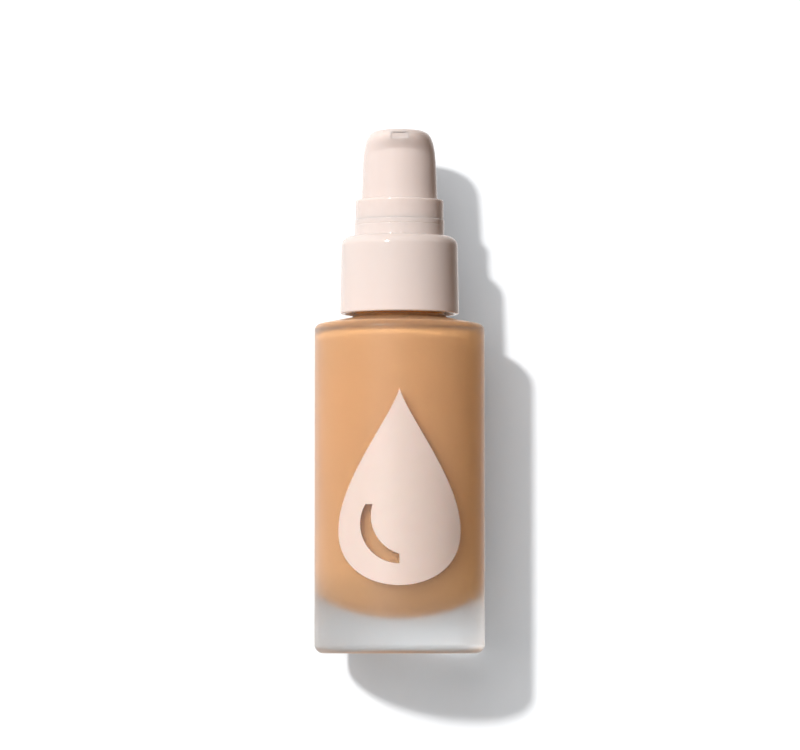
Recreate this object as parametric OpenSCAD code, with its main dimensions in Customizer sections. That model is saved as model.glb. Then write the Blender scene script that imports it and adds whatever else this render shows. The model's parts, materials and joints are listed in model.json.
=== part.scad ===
// Frosted glass foundation bottle with a 20 mm treatment pump.
// Millimetres, +Z up, origin at the middle of the standing base. The beak and the print face -Y.

/* [Glass body] */
// Outer diameter of the body
body_d = 34.6; // [34.2:0.2:38]
// Thickness of the body's wall
wall_t = 3; // [2.8:0.1:3.4]
// Thickness of the heavy base at its middle
base_t = 7; // [6:0.5:9]
// Radius of the rounded edge of the base
base_edge_r = 1.9; // [1:0.1:2]
// Rise of the hollow under the base, which leaves a standing ring
push_up = 0.8; // [0.4:0.1:1.2]
// Radius of the bowl that ends the cavity
bowl_r = 16; // [15.5:0.5:18]
// Radius that joins the bowl to the wall
bowl_corner_r = 7; // [5:0.5:8]

/* [Shoulder and neck] */
// Height of the shoulder where it meets the neck
shoulder_z = 68.15; // [66:0.05:72]
// Slope of the shoulder in degrees
shoulder_slope = 11; // [8:1:14]
// Radius of the shoulder's outer corner
shoulder_corner_r = 1.4; // [1:0.1:2]
// Diameter of the neck under the thread
neck_d = 18.6; // [18.4:0.1:18.8]
// Height of the neck from shoulder to lip
neck_h = 12.85; // [12.4:0.05:13.2]
// Diameter of the neck's bore
bore_d = 12; // [11.6:0.1:12.4]
// Rise of the thread in one turn
thread_pitch = 3.175; // [3:0.025:3.3]
// Turns that unscrew the closure
unscrew_turns = 1.25; // [1:0.25:1.25]

/* [Collar] */
// Diameter of the collar at its lower edge
collar_d = 24.2; // [23.8:0.1:24.4]
// Diameter of the collar just under its rounded top
collar_top_d = 23.6; // [23.2:0.1:23.8]
// Radius of the collar's rounded top edge
collar_edge_r = 2; // [1.6:0.1:2]
// Gap between the shoulder and the collar's lower edge
collar_gap = 0.85; // [0.5:0.05:1]
// Diameter of the upper ring, which is the narrower one
ring_d = 17.9; // [17.8:0.05:18]
// Step outward from the upper ring to the lower one
ring_step = 0.15; // [0.1:0.01:0.2]
// Height of the lower ring, which is one piece with the collar
lower_ring_h = 3.4; // [3.2:0.1:4.2]
// Height of the upper ring that shows
upper_ring_h = 4; // [3.2:0.1:4.2]

/* [Pump] */
// Length of the stroke
stroke = 4.6; // [4:0.1:4.6]
// Bore of the barrel
barrel_d = 7.2; // [7:0.1:7.2]
// Slip of the piston on the stem, which opens the outlet valve
valve_slip = 0.8; // [0.6:0.1:0.8]
// Lift of the check ball
ball_lift = 1; // [0.8:0.1:1]
// Diameter of the check ball
ball_d = 3; // [2.8:0.1:3]
// Outer diameter of the dip tube
tube_d = 3.8; // [3.6:0.1:3.8]
// Gap between the dip tube and the middle of the cavity's floor
tube_gap = 2; // [1.5:0.5:4]

/* [Head] */
// Diameter of the head where it enters the upper ring
head_d = 15.4; // [15.2:0.05:15.4]
// Height of the head above the upper ring
head_h = 14.2; // [13.8:0.1:15]
// Forward reach of the beak beyond the head's side
beak_reach = 1.4; // [1:0.1:1.4]
// Width of the outlet recess
outlet_w = 3.5; // [3:0.1:4]

/* [Print] */
// Height of the printed drop
print_h = 39.5; // [34:0.5:42]
// Thickness of the ink
ink_t = 0.06; // [0.05:0.01:0.1]

/* [Hidden] */
$fn = 96;

pink = [0.93, 0.86, 0.82];
white = [0.94, 0.94, 0.92];
tan = [0.80, 0.58, 0.40];
glass = [0.86, 0.88, 0.88, 0.5];
steel = [0.72, 0.73, 0.75];
rubber = [0.85, 0.85, 0.82];

seat_gap = 0.05; // between flat faces of separate pieces
slide_gap = 0.03; // radial gap of a sliding fit
skin_gap = 0.02; // between pieces that are fixed together

// Glass
body_r = body_d / 2;
cavity_r = body_r - wall_t;
neck_r = neck_d / 2;
neck_core_r = neck_r - 0.35;
bore_r = bore_d / 2;
neck_fillet_r = 0.9;
shoulder_t = 2.4; // thickness of the shoulder's glass
inner_corner_r = 2;
lip_z = shoulder_z + neck_h;
thread_z = lip_z - 7;
thread_turns = 1.5;
fluid_z = shoulder_z + 3.35;

// Stack of flat parts on the lip
gasket_t = 0.8;
flange_t = 1;
closure_top_t = 1.1;
collar_top_t = 0.8;
flange_z = lip_z + gasket_t;
flange_top_z = flange_z + flange_t;
closure_roof_z = flange_top_z + seat_gap;
closure_top_z = closure_roof_z + closure_top_t;
collar_roof_z = closure_top_z + seat_gap;
collar_top_z = collar_roof_z + collar_top_t;
ring_top_z = collar_top_z + lower_ring_h;
sleeve_top_z = ring_top_z + upper_ring_h;
collar_z = shoulder_z + collar_gap;

// Collar and closure
ring_r = ring_d / 2;
lower_ring_r = ring_r + ring_step;
groove_z = ring_top_z - 1.1; // fine line under the seam
groove_h = 0.2;
groove_t = 0.05;
collar_skin = 1;
spigot_r = ring_r - 0.5;
sleeve_bore_r = head_d / 2 + 0.3;
closure_r = collar_d / 2 - collar_skin - 2 * skin_gap - slide_gap;
closure_bore_r = 10.05;
closure_hole_r = 6.9;

// Pump
barrel_r = barrel_d / 2;
barrel_out_r = 4.7;
cap_bore_r = 4.05;
stem_r = 2.2;
stem_bore_r = 1.2;
tube_r = tube_d / 2;
nipple_z = lip_z - 23.5;
tube_top_z = nipple_z + 4;
inlet_r = 1;
inlet_top_z = tube_top_z + 1.1;
seat_r = 1.95;
seat_h = 1;
seat_slope = (seat_r - inlet_r) / seat_h;
ball_z = inlet_top_z + skin_gap
    + (ball_d / 2 * sqrt(1 + pow(seat_slope, 2)) - inlet_r) / seat_slope;
retainer_z = ball_z + ball_d / 2 + ball_lift + seat_gap;
retainer_t = 0.6;
spring_z = retainer_z + retainer_t;
spring_l = stroke + 2.4; // the closed coils take the rest
foot_z = spring_z + spring_l;
piston_z = foot_z + 0.7;
piston_h = 4;
stem_z = piston_z + 1.2 + valve_slip;
seal_z = piston_z + 5.05;
stem_top_z = sleeve_top_z + 6;

// Head
head_r = head_d / 2;
head_z = sleeve_top_z - 1.7;
head_top_z = sleeve_top_z + head_h;
head_taper = 0.035; // loss of radius for each millimetre of height
crown_z = head_top_z - 9.5; // where the crown starts to round at the sides
crown_q = 8; // the higher, the squarer
brow_z = head_top_z - 3.5; // where it starts to round over the beak
brow_q = 8;
crease_z = head_top_z - 4.2; // foot of the beak, in front
crease_drop = 1.2; // how much lower that foot lies at the sides
beak_rise = 2.6; // height in which the beak reaches its full depth
outlet_z = head_top_z - 2.15; // ledge of the outlet recess
outlet_h = 1.25;
outlet_floor_y = -7.9;
insert_l = 2.8;
insert_back_y = outlet_floor_y + insert_l;
duct_r = 0.45;
spout_r = 0.85;
socket_top_z = stem_top_z + seat_gap;
spout_z = outlet_z + outlet_h / 2;

eps = 0.01;

// Points of an arc about c, from angle a0 to a1
function arc(c, r, a0, a1, n = 8) =
    [for (i = [0:n]) let (a = a0 + (a1 - a0) * i / n) c + r * [cos(a), sin(a)]];

// Height of the shoulder's outer face at radius r
function shoulder_at(r) = shoulder_z - (r - neck_r - neck_fillet_r) * tan(shoulder_slope);

module lathe(profile) {
    rotate_extrude(convexity = 8) polygon(profile);
}

module ring(r_out, r_in, z, h) {
    difference() {
        translate([0, 0, z]) cylinder(r = r_out, h = h);
        translate([0, 0, z - 1]) cylinder(r = r_in, h = h + 2);
    }
}

// Closed solid through a list of rings that all have the same number of points
module skin(rings) {
    n = len(rings[0]);
    m = len(rings);
    polyhedron(
        points = [for (one = rings) for (p = one) p],
        faces = concat(
            [for (i = [0:m - 2]) for (j = [0:n - 1]) for (half = [0, 1])
                let (a = i * n + j, b = i * n + (j + 1) % n)
                half == 0 ? [a, b, b + n] : [a, b + n, a + n]],
            [[for (j = [n - 1:-1:0]) j]],
            [[for (j = [0:n - 1]) (m - 1) * n + j]]
        ),
        convexity = 8
    );
}

// Helical ridge of trapezoid section, whose ends run out into the wall. Angles are in degrees.
module thread_ridge(root_r, crest_r, start, end, drop) {
    root_w = 1.25;
    crest_w = 0.6;
    step = 15;
    run_out = 30;
    rings = [for (a = [start:step:end])
        let (
            grow = min(1, 0.1 + (a - start) / run_out, 0.1 + (end - a) / run_out),
            tip_r = root_r + (crest_r - root_r) * grow,
            z = thread_z - drop + thread_pitch * a / 360,
            section = [
                [root_r, -root_w / 2], [tip_r, -crest_w / 2],
                [tip_r, crest_w / 2], [root_r, root_w / 2]
            ],
            turned = crest_r > root_r ? section : [for (k = [3:-1:0]) section[k]]
        )
        [for (p = turned) [p[0] * cos(a), p[0] * sin(a), z + p[1]]]];
    skin(rings);
}

// Outline of the cavity from its floor to the neck's bore, shrunk by gap and closed at z_top
function cavity_profile(gap, z_top) =
    let (
        corner_x = cavity_r - bowl_corner_r,
        centres = bowl_r - bowl_corner_r,
        floor_z = base_t + bowl_r,
        corner_z = floor_z - sqrt(pow(centres, 2) - pow(corner_x, 2)),
        join_a = -acos(corner_x / centres),
        top_x = cavity_r - inner_corner_r,
        top_a = 90 - shoulder_slope,
        top_z = shoulder_at(top_x + inner_corner_r * cos(top_a)) - shoulder_t
            - inner_corner_r * sin(top_a),
        throat_r = bore_r + 1.2
    )
    concat(
        arc([0, floor_z], bowl_r - gap, -90, join_a, 10),
        arc([corner_x, corner_z], bowl_corner_r - gap, join_a, 0, 8),
        arc([top_x, top_z], inner_corner_r - gap, 0, top_a, 6),
        [
            [throat_r, shoulder_at(throat_r) - shoulder_t - gap],
            [bore_r - gap, shoulder_at(throat_r) - shoulder_t + 1.2],
            [bore_r - gap, z_top],
            [0, z_top]
        ]
    );

module bottle_glass() {
    ring_in_r = body_r - base_edge_r - 2.6;
    corner_a = 90 - shoulder_slope;
    corner_x = body_r - shoulder_corner_r;
    corner_z = shoulder_at(corner_x + shoulder_corner_r * cos(corner_a))
        - shoulder_corner_r * sin(corner_a);
    fillet_x = neck_r + neck_fillet_r;
    fillet_z = shoulder_at(fillet_x - neck_fillet_r * sin(shoulder_slope))
        + neck_fillet_r * cos(shoulder_slope);
    outer = concat(
        [[0, push_up], [ring_in_r * 0.6, push_up * 0.8], [ring_in_r - 0.8, push_up * 0.2]],
        [[ring_in_r, 0]],
        arc([body_r - base_edge_r, base_edge_r], base_edge_r, -90, 0),
        arc([corner_x, corner_z], shoulder_corner_r, 0, corner_a),
        arc([fillet_x, fillet_z], neck_fillet_r, -90 - shoulder_slope, -180, 6),
        [
            [neck_r, shoulder_z + 1.9], [neck_core_r, shoulder_z + 2.3],
            [neck_core_r, lip_z - 0.5], [neck_core_r - 0.5, lip_z], [0, lip_z]
        ]
    );
    color(glass) difference() {
        union() {
            lathe(outer);
            thread_ridge(neck_core_r - 0.3, neck_core_r + 0.8, 0, 360 * thread_turns, 0);
        }
        lathe(cavity_profile(0, lip_z + 1));
    }
}

module foundation_fluid() {
    tube_hole_r = tube_r + 0.25;
    barrel_hole_r = barrel_out_r + 0.4;
    color(tan) difference() {
        lathe(cavity_profile(skin_gap, fluid_z));
        translate([0, 0, base_t + tube_gap - 0.2]) cylinder(r = tube_hole_r, h = lip_z);
        translate([0, 0, nipple_z - 0.3]) cylinder(r = barrel_hole_r, h = lip_z);
    }
}

// Teardrop with its point up, centred on the origin
function drop_outline(w, h, n = 48) =
    [for (i = [0:n - 1]) let (t = 360 * i / n)
        [w * sin(t) * pow(sin(t / 2), 1.6), h / 2 * cos(t)]];

module printed_motif() {
    drop_w = print_h * 0.45;
    middle_z = 33.4;
    gleam_r = print_h * 0.2;
    gleam_z = -print_h * 0.19;
    gleam_w = print_h * 0.055;
    color(pink) intersection() {
        ring(body_r + ink_t, body_r, 1, shoulder_z - 6);
        translate([0, 0, middle_z]) rotate([90, 0, 0]) linear_extrude(body_d) difference() {
            polygon(drop_outline(drop_w, print_h));
            intersection() {
                difference() {
                    translate([0, gleam_z]) circle(r = gleam_r);
                    translate([gleam_w, gleam_w * 0.75 + gleam_z]) circle(r = gleam_r);
                }
                translate([-print_h, gleam_z - print_h]) square([print_h, print_h * 1.1]);
            }
        }
    }
}

module collar_shell() {
    r_low = collar_d / 2;
    r_top = collar_top_d / 2;
    edge_z = collar_top_z - collar_edge_r;
    color(pink) lathe(concat(
        [[r_low - collar_skin, collar_z + 0.2], [r_low - collar_skin + 0.2, collar_z]],
        arc([r_low - 0.35, collar_z + 0.35], 0.35, -90, 0, 4),
        arc([r_top - collar_edge_r, edge_z], collar_edge_r, 0, 90),
        [
            [lower_ring_r + 0.15, collar_top_z], [lower_ring_r, collar_top_z + 0.15],
            [lower_ring_r, groove_z - groove_h / 2], [lower_ring_r - groove_t, groove_z],
            [lower_ring_r, groove_z + groove_h / 2],
            [lower_ring_r, ring_top_z - ring_step], [ring_r, ring_top_z],
            [spigot_r, ring_top_z], [spigot_r, collar_roof_z],
            [r_low - collar_skin - 0.8, collar_roof_z], [r_low - collar_skin, collar_roof_z - 0.8]
        ]
    ));
}

module screw_closure() {
    low_z = collar_z + 0.2;
    color(white) union() {
        lathe([
            [closure_bore_r, low_z + 0.3], [closure_bore_r + 0.3, low_z], [closure_r, low_z],
            [closure_r, closure_top_z - 0.9], [closure_r - 0.8, closure_top_z],
            [closure_hole_r, closure_top_z], [closure_hole_r, closure_roof_z],
            [closure_bore_r, closure_roof_z]
        ]);
        thread_ridge(closure_bore_r + 0.3, closure_bore_r - 0.8,
            360 * (thread_turns - unscrew_turns), 360 * thread_turns, thread_pitch / 2);
    }
}

module guide_sleeve() {
    spigot_z = ring_top_z - 2.2;
    foot_z = ring_top_z + skin_gap;
    color(pink) lathe(concat(
        [
            [sleeve_bore_r, spigot_z], [spigot_r - skin_gap, spigot_z],
            [spigot_r - skin_gap, foot_z], [ring_r - 0.1, foot_z], [ring_r, foot_z + 0.1]
        ],
        arc([ring_r - 0.3, sleeve_top_z - 0.3], 0.3, 0, 90, 4),
        [[sleeve_bore_r + 0.15, sleeve_top_z], [sleeve_bore_r, sleeve_top_z - 0.15]]
    ));
}

module neck_gasket() {
    color(rubber) ring(neck_core_r - 0.3, bore_r + 0.3, lip_z + eps, gasket_t - 2 * eps);
}

module pump_housing() {
    flange_r = neck_core_r - 0.2;
    nipple_r = 2.9;
    vent_r = 0.4;
    color(white) difference() {
        lathe([
            [tube_r + eps, nipple_z], [nipple_r, nipple_z], [nipple_r, inlet_top_z - 0.4],
            [barrel_out_r, inlet_top_z + 1.8], [barrel_out_r, flange_z], [flange_r, flange_z],
            [flange_r, flange_top_z], [cap_bore_r, flange_top_z], [cap_bore_r, seal_z],
            [barrel_r, seal_z], [barrel_r, retainer_z], [seat_r, retainer_z],
            [seat_r, inlet_top_z + seat_h], [inlet_r, inlet_top_z], [inlet_r, tube_top_z],
            [tube_r + eps, tube_top_z]
        ]);
        translate([0, 0, seal_z - 0.6]) rotate([0, 90, 0]) cylinder(r = vent_r, h = body_r, $fn = 24);
    }
}

module housing_cap() {
    turret_r = 3.3;
    turret_h = 2.4;
    cap_r = closure_hole_r - 0.2;
    plug_r = cap_bore_r - skin_gap;
    bore = stem_r + 0.08;
    color(white) lathe([
        [bore, seal_z + 0.85], [plug_r, seal_z + 0.85], [plug_r, flange_top_z + skin_gap],
        [cap_r, flange_top_z + skin_gap], [cap_r, closure_top_z - 0.3],
        [cap_r - 0.3, closure_top_z], [turret_r + 0.3, closure_top_z],
        [turret_r, closure_top_z + 0.3], [turret_r, closure_top_z + turret_h],
        [bore + 0.3, closure_top_z + turret_h], [bore, closure_top_z + turret_h - 0.3]
    ]);
}

module stem_seal() {
    color(rubber) ring(cap_bore_r - skin_gap, stem_r + 0.05, seal_z + eps, 0.8);
}

module stem() {
    color(white) lathe([
        [stem_bore_r, stem_z], [stem_r, stem_z], [stem_r, stem_top_z - 0.3],
        [stem_r - 0.3, stem_top_z], [stem_bore_r, stem_top_z]
    ]);
}

module piston_rod() {
    shaft_r = 1;
    head_r = stem_bore_r - skin_gap;
    flute_r = 0.45;
    top_z = stem_z + 4.5;
    color(white) difference() {
        lathe([
            [0, foot_z - 1.2], [1.8, foot_z - 1.2], [2.1, foot_z - 0.9], [2.1, foot_z],
            [2.9, foot_z], [2.9, foot_z + 0.4], [2.2, piston_z - skin_gap],
            [shaft_r, piston_z - skin_gap], [shaft_r, stem_z + 0.2], [head_r, stem_z + 0.4],
            [head_r, top_z - 0.3], [head_r - 0.3, top_z], [0, top_z]
        ]);
        for (a = [0:120:240])
            rotate([0, 0, a]) translate([head_r, 0, stem_z + 0.1]) cylinder(r = flute_r, h = 6, $fn = 24);
    }
}

module piston() {
    lip_r = barrel_r - slide_gap;
    waist_r = 3.25;
    lip_h = 0.6;
    throat_r = 1.65;
    bore = stem_r + slide_gap;
    top_z = piston_z + piston_h;
    color(white) lathe([
        [throat_r, piston_z], [lip_r - 0.1, piston_z], [lip_r, piston_z + 0.1],
        [lip_r, piston_z + lip_h], [waist_r, piston_z + lip_h + 0.3],
        [waist_r, top_z - lip_h - 0.3], [lip_r, top_z - lip_h], [lip_r, top_z - 0.1],
        [lip_r - 0.1, top_z], [bore + 0.3, top_z], [bore, top_z - 0.3],
        [bore, piston_z + 1.15], [throat_r, piston_z + 1.15]
    ]);
}

module return_spring() {
    wire_r = 0.2;
    coil_r = 2.5;
    closed_turns = 0.75;
    open_turns = 3.25;
    steps = 16;
    sides = 8;
    closed_rise = closed_turns * wire_r * 2.1;
    open_rise = spring_l - 2 * wire_r - 2 * closed_rise - 2 * eps;
    turns = 2 * closed_turns + open_turns;
    function height(t) =
        min(t, closed_turns) / closed_turns * closed_rise
        + min(max(t - closed_turns, 0), open_turns) / open_turns * open_rise
        + max(t - closed_turns - open_turns, 0) / closed_turns * closed_rise;
    color(steel) skin([for (i = [0:turns * steps])
        let (t = i / steps, a = 360 * t, z = spring_z + wire_r + eps + height(t))
        [for (k = [0:sides - 1])
            let (b = 360 * k / sides, r = coil_r + wire_r * cos(b))
            [r * cos(a), r * sin(a), z + wire_r * sin(b)]]]);
}

module ball_retainer() {
    color(white) difference() {
        translate([0, 0, retainer_z + eps]) cylinder(r = barrel_r - skin_gap, h = retainer_t - eps);
        translate([0, 0, retainer_z - 1]) cylinder(r = 0.8, h = 3, $fn = 32);
        for (a = [30:60:330])
            rotate([0, 0, a]) translate([1.9, 0, retainer_z - 1]) cylinder(r = 0.5, h = 3, $fn = 24);
    }
}

module inlet_ball() {
    color(steel) translate([0, 0, ball_z]) sphere(d = ball_d);
}

module dip_tube() {
    low_z = base_t + tube_gap;
    tube_wall = 0.45;
    color(white) difference() {
        ring(tube_r, tube_r - tube_wall, low_z, tube_top_z - low_z);
        translate([-5, -5, low_z - 8 - tube_r]) rotate([20, 0, 0]) cube([10, 14, 8]);
    }
}

// How far the beak stands forward of the head's round side, at height z and angle a
function beak_push(z, a) =
    let (foot_z = crease_z - crease_drop * pow(cos(a), 2), s = min(1, max(0, (z - foot_z) / beak_rise)))
    beak_reach * (1 - pow(1 - pow(s, 1.5), 2));

// Share of its full radius that the head keeps at height z, where it rounds from low_z to its top
function crown_share(z, low_z, q) =
    pow(1 - pow(min(1, max(0, (z - low_z) / (head_top_z - low_z))), 3), 1 / q);

// One ring of the head's outside at height z
function head_ring(z) =
    let (
        full_r = head_r - head_taper * (z - sleeve_top_z),
        side = crown_share(z, crown_z, crown_q),
        brow = crown_share(z, brow_z, brow_q)
    )
    [for (a = [0:7.5:352.5])
        let (
            front = pow(max(0, -sin(a)), 2.5),
            r = (full_r + beak_push(z, a) * front) * (side + (brow - side) * front)
        )
        [r * cos(a), r * sin(a), z]];

module head_outside() {
    side = [for (z = [head_z:1.3:crown_z - 0.5]) head_ring(z)];
    crown = [for (t = [0:4:84]) head_ring(crown_z + (head_top_z - crown_z) * pow(sin(t), 2 / 3))];
    top = [for (p = head_ring(head_top_z - eps)) [p[0] * 0.6, p[1] * 0.6, head_top_z]];
    skin(concat(side, crown, [head_ring(head_top_z - eps), top]));
}

module head_cavity() {
    floor_z = socket_top_z + 1.1;
    lathe([
        [0, head_z - 1], [6.4, head_z - 1], [6.4, floor_z], [5.9, floor_z + 1.8],
        [5.2, head_top_z - 3.1], [3.5, head_top_z - 2.1], [0, head_top_z - 1.6]
    ]);
}

// Rod from just behind the head's axis forward to y_end
module spout(r, y_end) {
    translate([0, r, spout_z]) rotate([90, 0, 0]) cylinder(r = r, h = r - y_end);
}

module actuator_shell() {
    pocket_y = outlet_floor_y - 5;
    color(pink) difference() {
        head_outside();
        head_cavity();
        translate([-outlet_w / 2, pocket_y, outlet_z])
            cube([outlet_w, insert_back_y + skin_gap - pocket_y, outlet_h]);
        spout(spout_r + skin_gap, insert_back_y - skin_gap);
    }
}

module actuator_core() {
    disc_r = 6.4 - skin_gap;
    disc_t = 1.1;
    color(white) difference() {
        union() {
            lathe([
                [0, sleeve_top_z - 0.2], [3.3, sleeve_top_z - 0.2], [3.3, socket_top_z],
                [disc_r, socket_top_z], [disc_r, socket_top_z + disc_t],
                [2, socket_top_z + disc_t], [2, head_top_z - 2.1], [0, head_top_z - 1.75]
            ]);
            spout(spout_r, insert_back_y + seat_gap);
        }
        translate([0, 0, sleeve_top_z - 1])
            cylinder(r = stem_r + slide_gap, h = socket_top_z - sleeve_top_z + 1);
        translate([0, 0, sleeve_top_z]) cylinder(r = duct_r, h = spout_z - sleeve_top_z);
        spout(duct_r, insert_back_y - 1);
    }
}

module nozzle_insert() {
    block_w = outlet_w - 2 * skin_gap;
    block_h = outlet_h - 2 * skin_gap;
    slit_w = 2.6;
    slit_h = 0.25;
    well_w = 1.4;
    well_y = outlet_floor_y + 0.5;
    color(pink) difference() {
        translate([-block_w / 2, outlet_floor_y, outlet_z + skin_gap]) cube([block_w, insert_l, block_h]);
        translate([-well_w / 2, well_y, spout_z - duct_r]) cube([well_w, 1.1, outlet_h]);
        translate([-slit_w / 2, outlet_floor_y - 1, outlet_z + outlet_h - slit_h])
            cube([slit_w, 1.6, slit_h]);
        spout(duct_r, well_y);
    }
}

bottle_glass();
foundation_fluid();
printed_motif();
collar_shell();
screw_closure();
guide_sleeve();
neck_gasket();
pump_housing();
housing_cap();
stem_seal();
stem();
piston_rod();
piston();
return_spring();
ball_retainer();
inlet_ball();
dip_tube();
actuator_shell();
actuator_core();
nozzle_insert();
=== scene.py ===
import json
import math

import bmesh
import bpy
from mathutils import Matrix, Vector, geometry


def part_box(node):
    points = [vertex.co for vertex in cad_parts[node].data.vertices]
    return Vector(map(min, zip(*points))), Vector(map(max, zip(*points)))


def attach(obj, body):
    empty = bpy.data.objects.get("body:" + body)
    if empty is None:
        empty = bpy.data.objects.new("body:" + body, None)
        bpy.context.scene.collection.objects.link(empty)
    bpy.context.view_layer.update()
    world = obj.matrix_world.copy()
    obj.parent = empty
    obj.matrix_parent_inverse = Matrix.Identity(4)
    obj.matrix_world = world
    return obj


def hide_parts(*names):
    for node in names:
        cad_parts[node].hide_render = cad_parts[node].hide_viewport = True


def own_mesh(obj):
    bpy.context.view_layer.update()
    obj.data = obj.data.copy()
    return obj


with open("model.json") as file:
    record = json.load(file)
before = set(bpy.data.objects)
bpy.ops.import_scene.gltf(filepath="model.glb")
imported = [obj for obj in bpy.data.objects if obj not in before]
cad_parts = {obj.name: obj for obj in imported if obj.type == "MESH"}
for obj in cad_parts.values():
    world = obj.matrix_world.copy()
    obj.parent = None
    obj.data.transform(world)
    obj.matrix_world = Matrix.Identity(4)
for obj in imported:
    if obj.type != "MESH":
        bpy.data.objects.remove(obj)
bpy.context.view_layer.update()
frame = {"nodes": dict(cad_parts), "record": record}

MM = 0.001
SEGMENTS = 192  # around each turned piece and the head


# ---------------------------------------------------------------- sizes, in millimetres

def low(node):
    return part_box(node)[0] / MM


def high(node):
    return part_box(node)[1] / MM


# glass
body_r = high("bottle_glass").x
lip_z = high("bottle_glass").z
wall = body_r - high("foundation_fluid").x
base_t = low("foundation_fluid").z
fluid_z = high("foundation_fluid").z
shoulder_z = low("collar_shell").z - 0.85
neck_r = 9.3
neck_core_r = neck_r - 0.35
bore_r = 6.0
base_edge_r = 1.9
shoulder_slope = math.radians(11)
shoulder_corner_r = 1.4
neck_fillet_r = 0.9
bowl_r = 16.0
bowl_corner_r = 7.0
shoulder_t = 2.4
inner_corner_r = 2.0
push_up = 0.8
standing_ring_w = 2.6
ridge_h = 0.8
ridge_root_w = 1.25
ridge_crest_w = 0.6
thread_pitch = 3.175
thread_turns = 1.5
thread_z = lip_z - 7
thread_run_out = 0.5  # radians over which a ridge fades at each end

# collar and rings
collar_low_r = high("collar_shell").x
collar_z = low("collar_shell").z
ring_top_z = high("collar_shell").z
sleeve_top_z = high("guide_sleeve").z
ring_r = high("guide_sleeve").x
lower_ring_r = ring_r + 0.15
sleeve_bore_r = 8.0
collar_top_z = ring_top_z - 3.4
collar_top_r = collar_low_r - 0.3
collar_edge_r = 2.0
collar_skin = 1.0
collar_roof_z = collar_top_z - 0.8
spigot_r = ring_r - 0.5

# head
head_r = sleeve_bore_r - 0.3
head_z = low("actuator_shell").z
head_top_z = high("actuator_shell").z
head_taper = 0.035
crown_z = head_top_z - 9.5
crown_q = 8
brow_z = head_top_z - 3.5
brow_q = 8
beak_reach = 1.4
crease_z = head_top_z - 4.2
crease_drop = 1.2
beak_rise = 3.3
socket_top_z = sleeve_top_z + 6.05
outlet_w = 3.5
outlet_h = 1.25
outlet_z = head_top_z - 2.15
outlet_floor_y = -7.9

# spring
wire_r = 0.2
coil_r = 2.5
closed_turns = 0.75
open_turns = 3.25


# ---------------------------------------------------------------- mesh tools

def fillet(corner, before, after, radius, step=9):
    """Points of the arc of that radius that rounds a corner of an outline."""
    p, a, b = Vector(corner), Vector(before), Vector(after)
    u, v = (a - p).normalized(), (b - p).normalized()
    half = u.angle(v) / 2
    if radius <= 0 or half > math.radians(89.9):
        return [tuple(p)]
    reach = radius / math.tan(half)
    centre = p + (u + v).normalized() * (radius / math.sin(half))
    start, end = p + u * reach - centre, p + v * reach - centre
    sweep = start.angle_signed(end) * -1
    count = max(2, math.ceil(math.degrees(abs(sweep)) / step))
    return [
        tuple(centre + Matrix.Rotation(sweep * i / count, 2) @ start) for i in range(count + 1)
    ]


def outline(*corners):
    """Closed outline through corners (r, z) or (r, z, fillet radius)."""
    points = []
    for i, corner in enumerate(corners):
        before, after = corners[i - 1][:2], corners[(i + 1) % len(corners)][:2]
        radius = corner[2] if len(corner) > 2 else 0
        points += fillet(corner[:2], before, after, radius)
    return points


def arc(centre, radius, start, end, count=12):
    """Points of an arc in an outline, from one angle to another, in degrees."""
    angles = [math.radians(start + (end - start) * i / count) for i in range(count + 1)]
    return [(centre[0] + radius * math.cos(a), centre[1] + radius * math.sin(a)) for a in angles]


def finish_mesh(name, verts, faces, sharp=40):
    """Object from points in millimetres, with its normals outward and its edges shaded by angle."""
    mesh = bpy.data.meshes.new(name)
    bm = bmesh.new()
    made = [bm.verts.new([c * MM for c in v]) for v in verts]
    for face in faces:
        bm.faces.new([made[i] for i in face])
    bmesh.ops.recalc_face_normals(bm, faces=bm.faces)
    bm.to_mesh(mesh)
    bm.free()
    mesh.shade_smooth()
    mesh.set_sharp_from_angle(angle=math.radians(sharp))
    obj = bpy.data.objects.new(name, mesh)
    bpy.context.scene.collection.objects.link(obj)
    return obj


def even_normals(obj):
    """Large faces keep their own normals where they meet small fillets."""
    modifier = obj.modifiers.new("normals", "WEIGHTED_NORMAL")
    modifier.keep_sharp = True
    modifier.weight = 80
    return obj


def loft(name, rings, closed=False, sharp=40):
    """Skin over rings of points. A ring of one point is a pole."""
    verts, indices = [], []
    for ring in rings:
        indices.append(range(len(verts), len(verts) + len(ring)))
        verts += ring
    pairs = list(zip(indices, indices[1:]))
    if closed:
        pairs.append((indices[-1], indices[0]))
    faces = []
    for a, b in pairs:
        for j in range(max(len(a), len(b))):
            if max(len(a), len(b)) == 1:
                continue
            quad = [a[j % len(a)], a[(j + 1) % len(a)], b[(j + 1) % len(b)], b[j % len(b)]]
            faces.append(list(dict.fromkeys(quad)))
    return finish_mesh(name, verts, faces, sharp)


def around(r, z, bulge=None):
    """Ring of points at radius r and height z, or a pole on the axis."""
    if r < 1e-6:
        return [(0, 0, z)]
    angles = [math.tau * j / SEGMENTS for j in range(SEGMENTS)]
    radii = [r + (bulge(a, z) if bulge else 0) for a in angles]
    return [(q * math.cos(a), q * math.sin(a), z) for q, a in zip(radii, angles)]


def lathe(name, points, bulge=None, sharp=40):
    """Closed outline turned about the Z axis."""
    on_axis = points[0][0] < 1e-6
    rings = [around(r, z, bulge) for r, z in points]
    return even_normals(loft(name, rings, closed=not on_axis, sharp=sharp))


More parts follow.
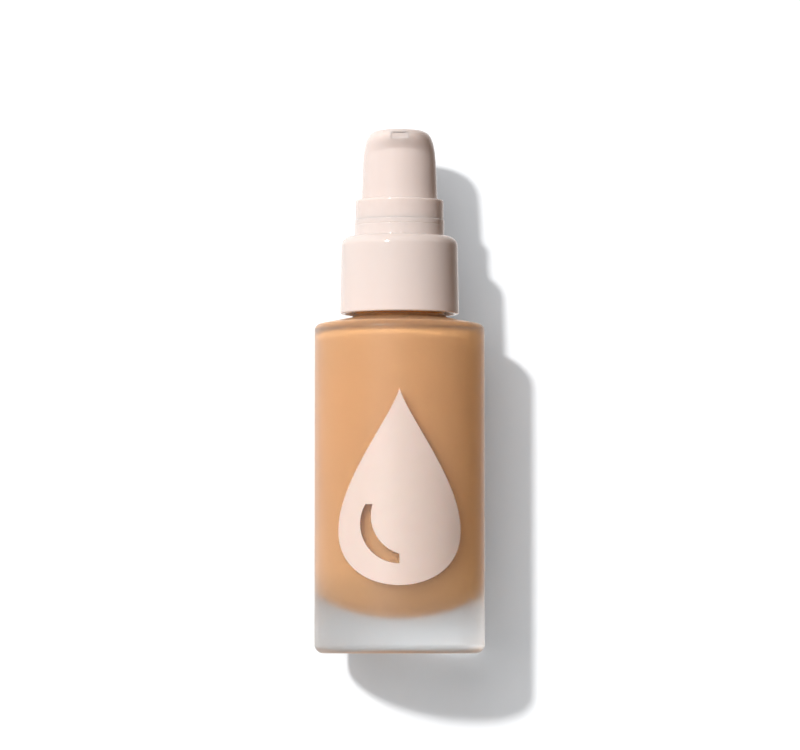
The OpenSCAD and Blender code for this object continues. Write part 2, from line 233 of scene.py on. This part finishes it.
def cut(obj, *tools):
    """Takes the tools away from the object."""
    for tool in tools:
        modifier = obj.modifiers.new("cut", "BOOLEAN")
        modifier.operation = "DIFFERENCE"
        modifier.solver = "EXACT"
        modifier.object = tool
        graph = bpy.context.evaluated_depsgraph_get()
        mesh = bpy.data.meshes.new_from_object(obj.evaluated_get(graph))
        obj.modifiers.remove(modifier)
        obj.data = mesh
        bpy.data.objects.remove(tool)
    obj.data.shade_smooth()
    obj.data.set_sharp_from_angle(angle=math.radians(35))
    return obj


def block(name, corner, size, radius=0.15, along=1):
    """Box from its lowest corner, whose four edges along one axis are rounded."""
    flat = [i for i in range(3) if i != along]
    w, h = size[flat[0]], size[flat[1]]
    points = outline((0, 0, radius), (w, 0, radius), (w, h, radius), (0, h, radius))

    def from_corner(p, depth):
        offset = [0, 0, 0]
        offset[flat[0]], offset[flat[1]], offset[along] = p[0], p[1], depth
        return tuple(a + b for a, b in zip(corner, offset))

    near = [from_corner(p, 0) for p in points]
    far = [from_corner(p, size[along]) for p in points]
    count = len(points)
    faces = [[i, (i + 1) % count, count + (i + 1) % count, count + i] for i in range(count)]
    faces += [list(range(count)), list(range(count, 2 * count))]
    return finish_mesh(name, near + far, faces)


# ---------------------------------------------------------------- materials

def set_up(name, colour, roughness, **sockets):
    """Principled material with its constants on the shader's own sockets."""
    material = bpy.data.materials.new(name)
    material.use_nodes = True
    shader = material.node_tree.nodes["Principled BSDF"]
    shader.inputs["Base Color"].default_value = (*colour, 1)
    shader.inputs["Roughness"].default_value = roughness
    for socket, value in sockets.items():
        shader.inputs[socket.replace("_", " ").title().replace("Ior", "IOR")].default_value = value
    return material, shader


def noise(material, scale, detail=3, stretch=(1, 1, 1)):
    """Noise in the object's own space. Scale is in features per metre."""
    nodes, links = material.node_tree.nodes, material.node_tree.links
    space = nodes.new("ShaderNodeTexCoord")
    mapping = nodes.new("ShaderNodeMapping")
    mapping.inputs["Scale"].default_value = stretch
    texture = nodes.new("ShaderNodeTexNoise")
    texture.inputs["Scale"].default_value = scale
    texture.inputs["Detail"].default_value = detail
    links.new(space.outputs["Object"], mapping.inputs["Vector"])
    links.new(mapping.outputs["Vector"], texture.inputs["Vector"])
    return texture.outputs["Fac"]


def tint(material, shader, factor, dark, light):
    """Colour that runs from dark to light with the factor."""
    ramp = material.node_tree.nodes.new("ShaderNodeValToRGB")
    ramp.color_ramp.elements[0].position = 0.3
    ramp.color_ramp.elements[0].color = (*dark, 1)
    ramp.color_ramp.elements[1].position = 0.7
    ramp.color_ramp.elements[1].color = (*light, 1)
    material.node_tree.links.new(factor, ramp.inputs["Fac"])
    material.node_tree.links.new(ramp.outputs["Color"], shader.inputs["Base Color"])


def vary_roughness(material, shader, factor, least, most):
    """Gloss that varies between two roughnesses with the factor."""
    spread = material.node_tree.nodes.new("ShaderNodeMapRange")
    spread.inputs["From Min"].default_value = 0.3
    spread.inputs["From Max"].default_value = 0.7
    spread.inputs["To Min"].default_value = least
    spread.inputs["To Max"].default_value = most
    material.node_tree.links.new(factor, spread.inputs["Value"])
    material.node_tree.links.new(spread.outputs["Result"], shader.inputs["Roughness"])


def relief(material, shader, factor, depth_mm, strength=0.5):
    """Fine relief of that depth."""
    bump = material.node_tree.nodes.new("ShaderNodeBump")
    bump.inputs["Strength"].default_value = strength
    bump.inputs["Distance"].default_value = depth_mm * MM
    material.node_tree.links.new(factor, bump.inputs["Height"])
    material.node_tree.links.new(bump.outputs["Normal"], shader.inputs["Normal"])


def shade(colour, factor):
    """The colour made darker or lighter."""
    return tuple(min(1, c * factor) for c in colour)


def moulded(name, colour, roughness, grain_mm=0.1, depth_mm=0.001, spread=0.004, **sockets):
    """Injection-moulded plastic: faint cloudiness, a fine grain and uneven gloss."""
    material, shader = set_up(name, colour, roughness, **sockets)
    tint(material, shader, noise(material, 60), shade(colour, 1 - spread), shade(colour, 1 + spread))
    vary_roughness(material, shader, noise(material, 300), roughness - 0.015, roughness + 0.015)
    relief(material, shader, noise(material, 1 / (grain_mm * MM)), depth_mm, 0.3)
    return material


def frosted_glass():
    """Etched glass. The etching stops at the foot of the neck, which is smooth."""
    colour = (0.93, 0.955, 0.97)
    etched_roughness, smooth_roughness = 0.3, 0.08
    material, shader = set_up(
        "frosted_glass", colour, etched_roughness, ior=1.5, transmission_weight=0.95,
        specular_tint=(0.25, 0.25, 0.25, 1),
    )
    tint(material, shader, noise(material, 60), shade(colour, 0.985), colour)
    relief(material, shader, noise(material, 9000, 2), 0.004, 0.4)
    nodes, links = material.node_tree.nodes, material.node_tree.links
    space = nodes.new("ShaderNodeTexCoord")
    split = nodes.new("ShaderNodeSeparateXYZ")
    etched = nodes.new("ShaderNodeMapRange")
    etched.inputs["From Min"].default_value = (shoulder_z + 0.6) * MM
    etched.inputs["From Max"].default_value = (shoulder_z + 1.2) * MM
    etched.inputs["To Min"].default_value = etched_roughness
    etched.inputs["To Max"].default_value = smooth_roughness
    uneven = nodes.new("ShaderNodeMath")
    uneven.operation = "MULTIPLY_ADD"
    uneven.inputs[1].default_value = 0.03
    links.new(space.outputs["Object"], split.inputs[0])
    links.new(split.outputs["Z"], etched.inputs["Value"])
    links.new(noise(material, 500), uneven.inputs[0])
    links.new(etched.outputs["Result"], uneven.inputs[2])
    links.new(uneven.outputs["Value"], shader.inputs["Roughness"])
    return material


def liquid():
    """Creamy, opaque make-up, with faint streaks along the bottle."""
    colour = (0.88, 0.455, 0.18)
    material, shader = set_up("foundation", colour, 0.5, ior=1.1, specular_ior_level=0)
    tint(material, shader, noise(material, 35, 4, (1, 1, 0.4)), shade(colour, 0.99), shade(colour, 1.01))
    relief(material, shader, noise(material, 120), 0.02, 0.2)
    return material


def ink():
    """Screen-printed ink, matt and a little uneven."""
    colour = (0.63, 0.515, 0.462)
    material, shader = set_up("print_ink", colour, 0.5, subsurface_weight=0.2, subsurface_scale=0.0005)
    tint(material, shader, noise(material, 300), shade(colour, 0.985), shade(colour, 1.01))
    vary_roughness(material, shader, noise(material, 900), 0.45, 0.55)
    relief(material, shader, noise(material, 7000, 2), 0.006, 0.5)
    return material


def metal(name, colour, roughness, stretch=(1, 1, 1)):
    """Bare metal with fine marks. The stretch draws them out along the wire."""
    material, shader = set_up(name, colour, roughness, metallic=1)
    tint(material, shader, noise(material, 2500, 3, stretch), shade(colour, 0.9), shade(colour, 1.05))
    vary_roughness(material, shader, noise(material, 3000), roughness - 0.05, roughness + 0.08)
    relief(material, shader, noise(material, 6000, 2, stretch), 0.003)
    return material


PINK = (0.662, 0.576, 0.542)
SOFT_PINK = dict(subsurface_weight=0.6, subsurface_radius=(1, 0.85, 0.75), subsurface_scale=0.002)

MATERIALS = {
    "frosted_glass": frosted_glass(),
    "foundation": liquid(),
    "print_ink": ink(),
    "pink_plastic": moulded("pink_plastic", PINK, 0.12, **SOFT_PINK),
    "inner_pink_plastic": moulded("inner_pink_plastic", shade(PINK, 0.97), 0.45),
    "natural_plastic": moulded(
        "natural_plastic", (0.8, 0.8, 0.77), 0.4, subsurface_weight=0.3, subsurface_scale=0.001
    ),
    "tube_plastic": moulded("tube_plastic", (0.82, 0.83, 0.8), 0.3, transmission_weight=0.5),
    "seal_rubber": moulded("seal_rubber", (0.75, 0.74, 0.68), 0.7),
    "spring_steel": metal("spring_steel", (0.6, 0.61, 0.63), 0.3, (1, 1, 6)),
    "ball_steel": metal("ball_steel", (0.7, 0.71, 0.73), 0.12),
}


def place(obj, body, slot, *nodes):
    """Gives a piece its finish and its body, and hides the CAD nodes that it stands for."""
    obj.data.materials.clear()
    obj.data.materials.append(MATERIALS[slot])
    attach(obj, body)
    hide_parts(*nodes)


# ---------------------------------------------------------------- glass, liquid and print

def shoulder_at(r):
    """Height of the shoulder's outer face."""
    return shoulder_z - (r - neck_r - neck_fillet_r) * math.tan(shoulder_slope)


def thread_ridge(angle, z):
    """How far the neck's thread stands out."""
    for turn in range(math.ceil(thread_turns)):
        total = angle + turn * math.tau
        run = math.tau * thread_turns
        if total > run:
            continue
        away = abs(z - thread_z - thread_pitch * total / math.tau)
        share = (ridge_root_w / 2 - away) / ((ridge_root_w - ridge_crest_w) / 2)
        share = min(1, max(0, share))
        grow = min(1, total / thread_run_out, (run - total) / thread_run_out)
        if share > 0:
            return ridge_h * grow * share * share * (3 - 2 * share)
    return 0


def cavity(gap, top_z):
    """Outline of the glass's cavity from its floor up, shrunk by a gap."""
    cavity_r = body_r - wall
    corner_x = cavity_r - bowl_corner_r
    floor_z = base_t + bowl_r
    reach = bowl_r - bowl_corner_r
    corner_z = floor_z - math.sqrt(reach ** 2 - corner_x ** 2)
    join = -math.degrees(math.acos(corner_x / reach))
    top_x = cavity_r - inner_corner_r
    top_a = 90 - math.degrees(shoulder_slope)
    top_r = top_x + inner_corner_r * math.cos(math.radians(top_a))
    top_c = shoulder_at(top_r) - shoulder_t - inner_corner_r * math.sin(math.radians(top_a))
    throat_r = bore_r + 1.2
    return [
        *arc((0, floor_z), bowl_r - gap, -90, join, 24),
        *arc((corner_x, corner_z), bowl_corner_r - gap, join, 0, 18)[1:],
        *arc((top_x, top_c), inner_corner_r - gap, 0, top_a, 10),
        (throat_r, shoulder_at(throat_r) - shoulder_t - gap),
        (bore_r - gap, shoulder_at(throat_r) - shoulder_t + 1.2),
        (bore_r - gap, top_z),
    ]


def make_glass():
    """Bottle: standing ring and hollow, side, shoulder and threaded neck outside, and the cavity."""
    slope = math.degrees(shoulder_slope)
    corner_x = body_r - shoulder_corner_r
    corner_z = shoulder_at(corner_x + shoulder_corner_r * math.sin(shoulder_slope))
    corner_z -= shoulder_corner_r * math.cos(shoulder_slope)
    fillet_x = neck_r + neck_fillet_r
    fillet_z = shoulder_at(fillet_x - neck_fillet_r * math.sin(shoulder_slope))
    fillet_z += neck_fillet_r * math.cos(shoulder_slope)
    hollow_r, hollow_steps = body_r - base_edge_r - standing_ring_w, 14
    out = [i / hollow_steps for i in range(hollow_steps + 1)]
    hollow = [(hollow_r * t, push_up * (1 - t ** 2) ** 1.5) for t in out]
    neck_row_h = 0.125
    neck_rows = [shoulder_z + 2.5 + neck_row_h * i for i in range(75)]
    outer = [
        *hollow,
        *arc((body_r - base_edge_r, base_edge_r), base_edge_r, -90, 0),
        *[(body_r, z) for z in range(6, 64, 3)],
        *arc((corner_x, corner_z), shoulder_corner_r, 0, 90 - slope),
        *arc((fillet_x, fillet_z), neck_fillet_r, -90 - slope, -180, 8),
        (neck_r, shoulder_z + 1.7), (neck_r - 0.05, shoulder_z + 1.85),
        (neck_core_r + 0.05, shoulder_z + 2.2), (neck_core_r, shoulder_z + 2.35),
        *[(neck_core_r, z) for z in neck_rows if z < lip_z - 0.6],
        *arc((neck_core_r - 0.5, lip_z - 0.5), 0.5, 0, 90, 6),
        (bore_r + 0.3, lip_z), (bore_r + 0.1, lip_z - 0.1), (bore_r, lip_z - 0.3),
    ]
    inner = cavity(0, lip_z - 2)[::-1]

    def ridge(angle, z):
        return thread_ridge(angle, z) if z > shoulder_z + 2.4 else 0

    rings = [around(r, z, ridge if r == neck_core_r else None) for r, z in outer]
    rings += [around(max(r, 0) if r > 1e-4 else 0, z) for r, z in inner]
    glass = even_normals(loft("glass_bottle", rings))
    place(glass, "bottle", "frosted_glass", "bottle_glass")


def make_liquid():
    """Liquid that wets the glass, with a hole for the pump's barrel and the dip tube."""
    overlap = 0.03
    tube_hole_r = high("dip_tube").x + 0.25
    tube_hole_z = base_t + 1.8
    barrel_r = 4.7
    barrel_hole_r = barrel_r + 0.4
    nipple_z = low("pump_housing").z
    outer = cavity(-overlap, fluid_z)
    outer[0] = (0, outer[0][1])
    points = [
        *outer[:-1],
        (bore_r + overlap, fluid_z + 0.15),
        (bore_r - 0.25, fluid_z),
        (barrel_hole_r + 0.25, fluid_z),
        (barrel_hole_r, fluid_z + 0.15),
        (barrel_hole_r, nipple_z - 0.3),
        (tube_hole_r, nipple_z - 0.3),
        (tube_hole_r, tube_hole_z),
        (0, tube_hole_z),
    ]
    place(lathe("foundation_liquid", points), "bottle", "foundation", "foundation_fluid")


print_h = high("printed_motif").z - low("printed_motif").z
print_z = (high("printed_motif").z + low("printed_motif").z) / 2


def drop_shape():
    """Outline of the drop, point up, and of the crescent gleam left out of it."""
    count = 160
    drop = []
    for i in range(count):
        t = math.tau * i / count
        drop.append((print_h * 0.45 * math.sin(t) * math.sin(t / 2) ** 1.6, print_h / 2 * math.cos(t)))
    gleam_r, gleam_z, shift = print_h * 0.2, -print_h * 0.19, print_h * 0.055
    inner = (shift, gleam_z + shift * 0.75)
    top = gleam_z + print_h * 0.1
    outer_arc = arc((0, gleam_z), gleam_r, 150, 270, 30)
    start = 180 - math.degrees(math.asin((top - inner[1]) / gleam_r))
    end = 180 + math.degrees(math.acos(shift / gleam_r))
    inner_arc = arc(inner, gleam_r, end, start, 30)
    return drop, outer_arc + inner_arc


def inside(point, polygon):
    """Whether a point lies in a polygon."""
    x, y = point
    crossed = False
    for (x0, y0), (x1, y1) in zip(polygon, polygon[1:] + polygon[:1]):
        if (y0 > y) != (y1 > y) and x < (x1 - x0) * (y - y0) / (y1 - y0) + x0:
            crossed = not crossed
    return crossed


def make_print():
    """Thin printed drop on the glass, on a fine triangle net that follows the curve."""
    drop, gleam = drop_shape()
    border = [Vector(p) for p in drop + gleam]
    points = list(border)
    edges = [(i, (i + 1) % len(drop)) for i in range(len(drop))]
    edges += [(len(drop) + i, len(drop) + (i + 1) % len(gleam)) for i in range(len(gleam))]
    step = 0.9
    rows, columns = int(print_h / step / 2), 18
    for i in range(-rows, rows + 1):
        for j in range(-columns, columns + 1):
            p = Vector((j * step, (i + 0.5 * (j % 2)) * step))
            near = min((p - q).length for q in border)
            if inside(p, drop) and not inside(p, gleam) and near > step * 0.35:
                points.append(p)
    flat, _, faces, *_ = geometry.delaunay_2d_cdt(points, edges, [], 0, 1e-6)
    middles = [sum((flat[i] for i in f), Vector((0, 0))) / 3 for f in faces]
    faces = [f for f, m in zip(faces, middles) if inside(m, drop) and not inside(m, gleam)]
    ink_t, depth = 0.06, 0.04
    verts = [(p.x, -math.sqrt((body_r + ink_t) ** 2 - p.x ** 2), print_z + p.y) for p in flat]
    inward = (body_r - depth) / (body_r + ink_t)
    verts += [(x * inward, y * inward, z) for x, y, z in verts]
    used = dict.fromkeys((a, b) for f in faces for a, b in zip(f, f[1:] + f[:1]))
    count = len(flat)
    all_faces = [list(f) for f in faces] + [[i + count for i in reversed(f)] for f in faces]
    for a, b in used:
        if (b, a) not in used:
            all_faces.append([b, a, a + count, b + count])
    keep = sorted({i for f in all_faces for i in f})
    renumber = {old: new for new, old in enumerate(keep)}
    kept_faces = [[renumber[i] for i in f] for f in all_faces]
    printed = finish_mesh("drop_print", [verts[i] for i in keep], kept_faces, sharp=30)
    place(printed, "bottle", "print_ink", "printed_motif")


# ---------------------------------------------------------------- collar and rings

def make_collar():
    """Collar shell with its lower ring, which has a fine groove."""
    groove_z, groove_t = ring_top_z - 1.1, 0.05
    points = outline(
        (collar_low_r - collar_skin, collar_z, 0.2),
        (collar_low_r, collar_z, 0.35),
        (collar_top_r, collar_top_z, collar_edge_r),
        (lower_ring_r, collar_top_z, 0.15),
        (lower_ring_r, groove_z - 0.1, 0.03),
        (lower_ring_r - groove_t, groove_z, 0.03),
        (lower_ring_r, groove_z + 0.1, 0.03),
        (lower_ring_r, ring_top_z, 0.15),
        (spigot_r, ring_top_z, 0.05),
        (spigot_r, collar_roof_z, 0.05),
        (collar_low_r - collar_skin, collar_roof_z, 0.8),
    )
    place(lathe("outer_collar", points), "closure", "pink_plastic", "collar_shell")


def make_upper_ring():
    """Upper ring over the seam, on a spigot that sits in the lower ring."""
    spigot_z, seat_z = low("guide_sleeve").z, ring_top_z + 0.005
    in_collar_r = spigot_r - 0.02
    points = outline(
        (sleeve_bore_r, spigot_z, 0.1),
        (in_collar_r, spigot_z, 0.15),
        (in_collar_r, seat_z),
        (ring_r, seat_z, 0.01),
        (ring_r, sleeve_top_z, 0.3),
        (sleeve_bore_r, sleeve_top_z, 0.15),
    )
    place(lathe("upper_ring", points), "closure", "pink_plastic", "guide_sleeve")


# ---------------------------------------------------------------- head

def beak_push(z, a):
    """How far the beak stands forward of the head's round side."""
    foot_z = crease_z - crease_drop * math.cos(a) ** 2
    s = min(1, max(0, (z - foot_z) / beak_rise))
    return beak_reach * (1 - (1 - s ** 1.5) ** 2)


def crown_share(z, low_z, power):
    """Share of its full radius that the head keeps where it rounds to its top."""
    up = min(1, max(0, (z - low_z) / (head_top_z - low_z)))
    return (1 - up ** 3) ** (1 / power)


def head_ring(z):
    """Outline of the head at height z, with the beak to the front."""
    full_r = head_r - head_taper * (z - sleeve_top_z)
    side, brow = crown_share(z, crown_z, crown_q), crown_share(z, brow_z, brow_q)
    ring = []
    for j in range(SEGMENTS):
        a = math.tau * j / SEGMENTS
        front = max(0, -math.sin(a)) ** 2.5
        r = (full_r + beak_push(z, a) * front) * (side + (brow - side) * front)
        ring.append((r * math.cos(a), r * math.sin(a), z))
    return ring


def make_head():
    """Hollow thimble with the beak, on rings that get closer towards its top."""
    edge, inside_r = 0.12, 6.4
    rounding_z = head_top_z - 1.1
    coarse, fine = 0.3, 0.16
    last = [math.radians(t) for t in (*range(0, 80, 4), 80, 83, 85.5, 87.5, 88.7, 89.5, 89.85)]
    heights = [head_z + edge * 1.5 + coarse * i for i in range(25)]
    heights += [heights[-1] + fine * (i + 1) for i in range(int((rounding_z - heights[-1]) / fine))]
    heights += [rounding_z + (head_top_z - rounding_z) * math.sin(t) for t in last]
    floor_z = socket_top_z + 1.1
    inner = [
        (0, head_top_z - 1.6), (3.5, head_top_z - 2.1), (5.2, head_top_z - 3.1),
        (5.9, floor_z + 1.8), (inside_r, floor_z), (inside_r, head_z + edge), (inside_r + edge, head_z),
    ]
    low_r = head_r + head_taper * (sleeve_top_z - head_z)
    rings = [around(r, z) for r, z in inner]
    rings += [around(low_r - edge, head_z), around(low_r - edge * 0.3, head_z + edge * 0.3)]
    rings += [head_ring(z) for z in heights] + [[(0, 0, head_top_z)]]
    head = loft("pump_head", rings)
    back_y = high("nozzle_insert").y + 0.02
    depth = back_y - outlet_floor_y + 5
    pocket = block("pocket", (-outlet_w / 2, back_y - depth, outlet_z), (outlet_w, depth, outlet_h), 0.15)
    cut(head, pocket)
    place(head, "actuator", "pink_plastic", "actuator_shell")


def make_insert():
    """Small block in the outlet, with the slit that the make-up leaves by along its upper edge."""
    far, near = high("nozzle_insert").y, outlet_floor_y
    size = (outlet_w + 0.02, far - near, outlet_h + 0.02)
    insert = block("outlet_insert", (-size[0] / 2, near, outlet_z - 0.01), size, 0.15)
    slit_w, slit_h = 2.6, 0.12
    slit_corner = (-slit_w / 2, near - 1, outlet_z + outlet_h - slit_h)
    slit = block("slit", slit_corner, (slit_w, 1.6, 0.5), 0.05)
    cut(insert, slit)
    place(insert, "actuator", "pink_plastic", "nozzle_insert")


# ---------------------------------------------------------------- spring

def make_spring():
    """Round-wire spring with closed ends. Its height is what the CAD spring has."""
    steps, sides = 36, 12
    low_z, high_z = low("return_spring").z + wire_r, high("return_spring").z - wire_r
    closed_rise = closed_turns * wire_r * 2.1  # closed coils lie a twentieth of a wire apart
    open_rise = high_z - low_z - 2 * closed_rise
    turns = 2 * closed_turns + open_turns

    def height(t):
        first = min(t, closed_turns) / closed_turns
        middle = min(max(t - closed_turns, 0), open_turns) / open_turns
        last = max(t - closed_turns - open_turns, 0) / closed_turns
        return low_z + (first + last) * closed_rise + middle * open_rise

    around_wire = [math.tau * k / sides for k in range(sides)]
    rings = []
    for i in range(int(turns * steps) + 1):
        t = i / steps
        a, z = math.tau * t, height(t)
        wire = [(coil_r + wire_r * math.cos(b), z + wire_r * math.sin(b)) for b in around_wire]
        rings.append([(r * math.cos(a), r * math.sin(a), h) for r, h in wire])
    ends = [[tuple(sum((Vector(p) for p in ring), Vector()) / sides)] for ring in (rings[0], rings[-1])]
    spring = loft("coil_spring", [ends[0], *rings, ends[1]])
    place(spring, "pump", "spring_steel", "return_spring")
    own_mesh(spring)


make_glass()
make_liquid()
make_print()
make_collar()
make_upper_ring()
make_head()
make_insert()
make_spring()

# the pieces that keep their CAD shape
for part in frame["record"]["subparts"]:
    node = frame["nodes"][part["node"]]
    if not node.hide_render:
        node.data.materials.clear()
        node.data.materials.append(MATERIALS[part["material_slot"]])


# ---------------------------------------------------------------- stage, light and camera

def one_sided(name, colour, glow):
    """Matt surface that is clear from behind. Its faint glow keeps shadows on it light."""
    material, shader = set_up(
        name, colour, 0.9, specular_ior_level=0, emission_color=(*glow, 1), emission_strength=1
    )
    nodes, links = material.node_tree.nodes, material.node_tree.links
    tint(material, shader, noise(material, 8), shade(colour, 0.995), colour)
    clear = nodes.new("ShaderNodeBsdfTransparent")
    mix = nodes.new("ShaderNodeMixShader")
    side = nodes.new("ShaderNodeNewGeometry")
    links.new(side.outputs["Backfacing"], mix.inputs["Fac"])
    links.new(shader.outputs["BSDF"], mix.inputs[1])
    links.new(clear.outputs["BSDF"], mix.inputs[2])
    links.new(mix.outputs["Shader"], nodes["Material Output"].inputs["Surface"])
    return material


def plane(name, corners, material):
    """Flat part of the stage, which casts no shadow."""
    mesh = bpy.data.meshes.new(name)
    mesh.from_pydata(corners, [], [(0, 1, 2, 3)])
    mesh.materials.append(material)
    obj = bpy.data.objects.new(name, mesh)
    bpy.context.scene.collection.objects.link(obj)
    obj.visible_shadow = False
    return obj


def make_stage():
    """Pale sheet just behind the bottle, and a floor that is seen from above."""
    pale = one_sided("pale_backdrop", (0.77, 0.78, 0.79), (0.10, 0.145, 0.175))
    back_y, reach = body_r * MM + 0.0002, 0.6
    sides = ((-reach, -reach), (reach, -reach), (reach, reach), (-reach, reach))
    backdrop = plane("backdrop", [(x, back_y, z) for x, z in sides], pale)
    floor = plane("floor", [(x, min(y, back_y), 0) for x, y in sides], pale)
    floor.visible_transmission = False
    for surface in (backdrop, floor):
        surface.visible_diffuse = False
        surface.visible_glossy = False


def make_sun(name, energy, angle, direction):
    """Sun whose light goes in that direction. The angle is its size in the sky, in degrees."""
    sun = bpy.data.objects.new(name, bpy.data.lights.new(name, "SUN"))
    sun.data.energy = energy
    sun.data.angle = math.radians(angle)
    sun.rotation_mode = "QUATERNION"
    sun.rotation_quaternion = Vector(direction).to_track_quat("-Z", "Y")
    bpy.context.scene.collection.objects.link(sun)
    return sun


def make_light():
    """Sharp and soft light from the upper left in front, and a fill that rims the sides from behind."""
    make_sun("key", 2.6, 4, (0.488, 1.0, -0.43))
    soft = make_sun("soft_key", 1.85, 60, (0.36, 1.0, -0.4))
    soft.visible_glossy = False
    make_fill(side=(-0.5, 0.86, 0.12), gain=1.15, warm=(0.12, 0.065, 0.035))


def make_fill(side, gain, warm):
    """Fill that is strongest from one side, on a faint warm glow. The camera sees plain white."""
    world = bpy.data.worlds.new("studio")
    bpy.context.scene.world = world
    world.use_nodes = True
    nodes, links = world.node_tree.nodes, world.node_tree.links
    direction = nodes.new("ShaderNodeTexCoord")
    facing = nodes.new("ShaderNodeVectorMath")
    facing.operation = "DOT_PRODUCT"
    facing.inputs[1].default_value = Vector(side).normalized()
    lit = nodes.new("ShaderNodeMath")
    lit.operation = "MAXIMUM"
    lit.inputs[1].default_value = 0
    level = nodes.new("ShaderNodeMath")
    level.operation = "MULTIPLY"
    level.inputs[1].default_value = gain
    fill = nodes["Background"]
    fill.inputs["Color"].default_value = (1, 1, 1, 1)
    links.new(direction.outputs["Generated"], facing.inputs[0])
    links.new(facing.outputs["Value"], lit.inputs[0])
    links.new(lit.outputs["Value"], level.inputs[0])
    links.new(level.outputs["Value"], fill.inputs["Strength"])
    glow = nodes.new("ShaderNodeBackground")
    glow.inputs["Color"].default_value = (*warm, 1)
    both = nodes.new("ShaderNodeAddShader")
    links.new(fill.outputs["Background"], both.inputs[0])
    links.new(glow.outputs["Background"], both.inputs[1])
    seen = nodes.new("ShaderNodeBackground")
    seen.inputs["Color"].default_value = (1, 1, 1, 1)
    path = nodes.new("ShaderNodeLightPath")
    mix = nodes.new("ShaderNodeMixShader")
    links.new(path.outputs["Is Camera Ray"], mix.inputs["Fac"])
    links.new(both.outputs["Shader"], mix.inputs[1])
    links.new(seen.outputs["Background"], mix.inputs[2])
    links.new(mix.outputs["Shader"], nodes["World Output"].inputs["Surface"])


def make_camera():
    """Long lens that looks up a little, from the height of the surface."""
    aside, distance, aim_z = 0.0001, 1.048, 0.0566
    camera = bpy.data.objects.new("camera", bpy.data.cameras.new("camera"))
    camera.data.lens = 232
    camera.data.sensor_width = 36
    camera.data.clip_start, camera.data.clip_end = 0.01, 10
    camera.location = (aside, -distance, 0)
    target = Vector((aside, 0, aim_z))
    camera.rotation_mode = "QUATERNION"
    camera.rotation_quaternion = (target - camera.location).to_track_quat("-Z", "Y")
    bpy.context.scene.collection.objects.link(camera)
    bpy.context.scene.camera = camera


make_stage()
make_light()
make_camera()
bpy.context.scene.view_settings.view_transform = "Standard"
bpy.context.scene.cycles.use_denoising = True
